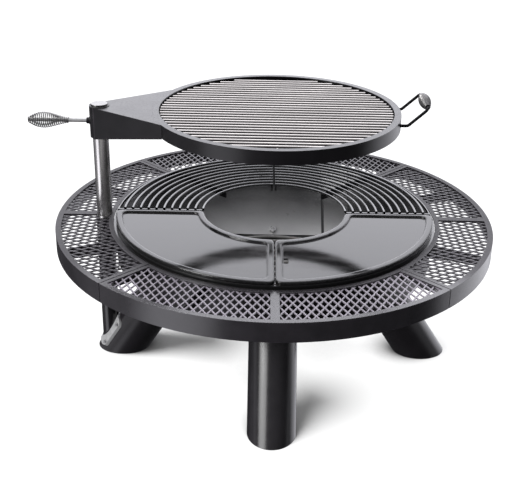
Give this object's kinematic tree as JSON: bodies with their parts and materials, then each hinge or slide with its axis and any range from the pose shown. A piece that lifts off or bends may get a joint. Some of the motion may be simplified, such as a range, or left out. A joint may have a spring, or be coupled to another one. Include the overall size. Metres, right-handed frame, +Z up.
{
  "type": "fire pit barbecue",
  "caption": "Round fire pit table on splayed tube legs, with a central bowl, griddle plates and grates on its rim, and a round grill on a swing arm that slides on a side post.",
  "frame": {"origin": "on the floor, on the axis of the round table", "axes": "+Z up, -Y to the front, the post on the left at -X"},
  "size_m": [1.2649, 1.2, 0.7749],
  "materials": {
    "table_paint": "satin charcoal powder coat",
    "mesh_paint": "satin grey powder coat",
    "frame_paint": "satin black",
    "leg_paint": "satin black",
    "arm_paint": "satin black",
    "handle_paint": "gloss black",
    "bowl_enamel": "gloss black enamel",
    "liner_enamel": "satin dark enamel",
    "plate_enamel": "gloss black enamel on iron",
    "fire_iron": "rough iron",
    "grate_rods": "gloss black enamel on steel rods",
    "grill_steel": "polished stainless rods",
    "post_steel": "polished stainless tube",
    "grip_chrome": "plated wire",
    "bolt_zinc": "zinc plated",
    "saddle_steel": "grey galvanised plate",
    "bush_plastic": "black glide plastic",
    "pad_brass": "plain"
  },
  "bodies": {
    "base": {"ring_panel_right": "table_paint", "ring_panel_back": "table_paint", "ring_panel_left": "table_paint", "ring_panel_front": "table_paint", "mesh_right_right": "mesh_paint", "mesh_right_left": "mesh_paint", "mesh_back_right": "mesh_paint", "mesh_back_left": "mesh_paint", "mesh_left_right": "mesh_paint", "mesh_left_left": "mesh_paint", "mesh_front_right": "mesh_paint", "mesh_front_left": "mesh_paint", "support_arm_right_right": "frame_paint", "support_arm_right_left": "frame_paint", "support_arm_back_right": "frame_paint", "support_arm_back_left": "frame_paint", "support_arm_left_right": "frame_paint", "support_arm_left_left": "frame_paint", "support_arm_front_right": "frame_paint", "support_arm_front_left": "frame_paint", "seam_bolts": "bolt_zinc", "seam_nuts": "bolt_zinc", "fire_bowl": "bowl_enamel", "heat_shield": "frame_paint", "liner_plate": "liner_enamel", "liner_plate_right": "liner_enamel", "leg_right": "leg_paint", "leg_back": "leg_paint", "leg_left": "leg_paint", "leg_front": "leg_paint", "leg_bolts": "bolt_zinc", "leg_nuts": "bolt_zinc", "post": "post_steel", "post_cap": "post_steel", "post_socket": "leg_paint", "post_saddle": "saddle_steel", "saddle_bolts": "bolt_zinc"},
    "fire_grate": {"fire_grate": "fire_iron"},
    "griddle_left": {"griddle_plate_left": "plate_enamel"},
    "griddle_right": {"griddle_plate_right": "plate_enamel"},
    "quarter_grate_right": {"quarter_grate_right": "grate_rods"},
    "quarter_grate_left": {"quarter_grate_left": "grate_rods"},
    "bushes": {"bush_upper": "bush_plastic", "bush_lower": "bush_plastic"},
    "arm": {"arm_hub": "arm_paint", "arm_shell": "arm_paint", "arm_floor": "arm_paint", "clamp_boss": "arm_paint", "grill_ring": "arm_paint", "lift_handle": "handle_paint", "lift_grip": "grip_chrome"},
    "clamp_pad": {"clamp_pad": "pad_brass"},
    "clamp_handle": {"clamp_rod": "grip_chrome", "clamp_grip": "grip_chrome"},
    "grill_grate": {"grill_grate": "grill_steel"}
  },
  "joints": [
    {"name": "fire_grate_lift", "type": "slide", "parent": "base", "child": "fire_grate", "axis": [0, 0, 1], "range_m": [0, 0.15]},
    {"name": "griddle_left_lift", "type": "slide", "parent": "base", "child": "griddle_left", "axis": [0, 0, 1], "range_m": [0, 0.2]},
    {"name": "griddle_right_lift", "type": "slide", "parent": "base", "child": "griddle_right", "axis": [0, 0, 1], "range_m": [0, 0.2]},
    {"name": "grate_right_lift", "type": "slide", "parent": "base", "child": "quarter_grate_right", "axis": [0, 0, 1], "range_m": [0, 0.2]},
    {"name": "grate_left_lift", "type": "slide", "parent": "base", "child": "quarter_grate_left", "axis": [0, 0, 1], "range_m": [0, 0.2]},
    {"name": "arm_height", "type": "slide", "parent": "base", "child": "bushes", "axis": [0, 0, 1], "range_m": [-0.19, 0]},
    {"name": "arm_swing", "type": "hinge", "parent": "bushes", "child": "arm", "pos_m": [-0.4722, 0, 0.689], "axis": [0, 0, 1], "range_deg": [-180, 180]},
    {"name": "clamp_pad_travel", "type": "slide", "parent": "arm", "child": "clamp_pad", "axis": [-1, 0, 0], "range_m": [0, 0.00187]},
    {"name": "clamp_turn", "type": "hinge", "parent": "clamp_pad", "child": "clamp_handle", "pos_m": [-0.5322, 0, 0.689], "axis": [-1, 0, 0], "range_deg": [0, 540]},
    {"name": "grill_grate_lift", "type": "slide", "parent": "arm", "child": "grill_grate", "axis": [0, 0, 1], "range_m": [0, 0.25]}
  ],
  "couplings": [
    {"joint": "clamp_turn", "follows": "clamp_pad_travel", "rad_per_m": 5026.5}
  ]
}
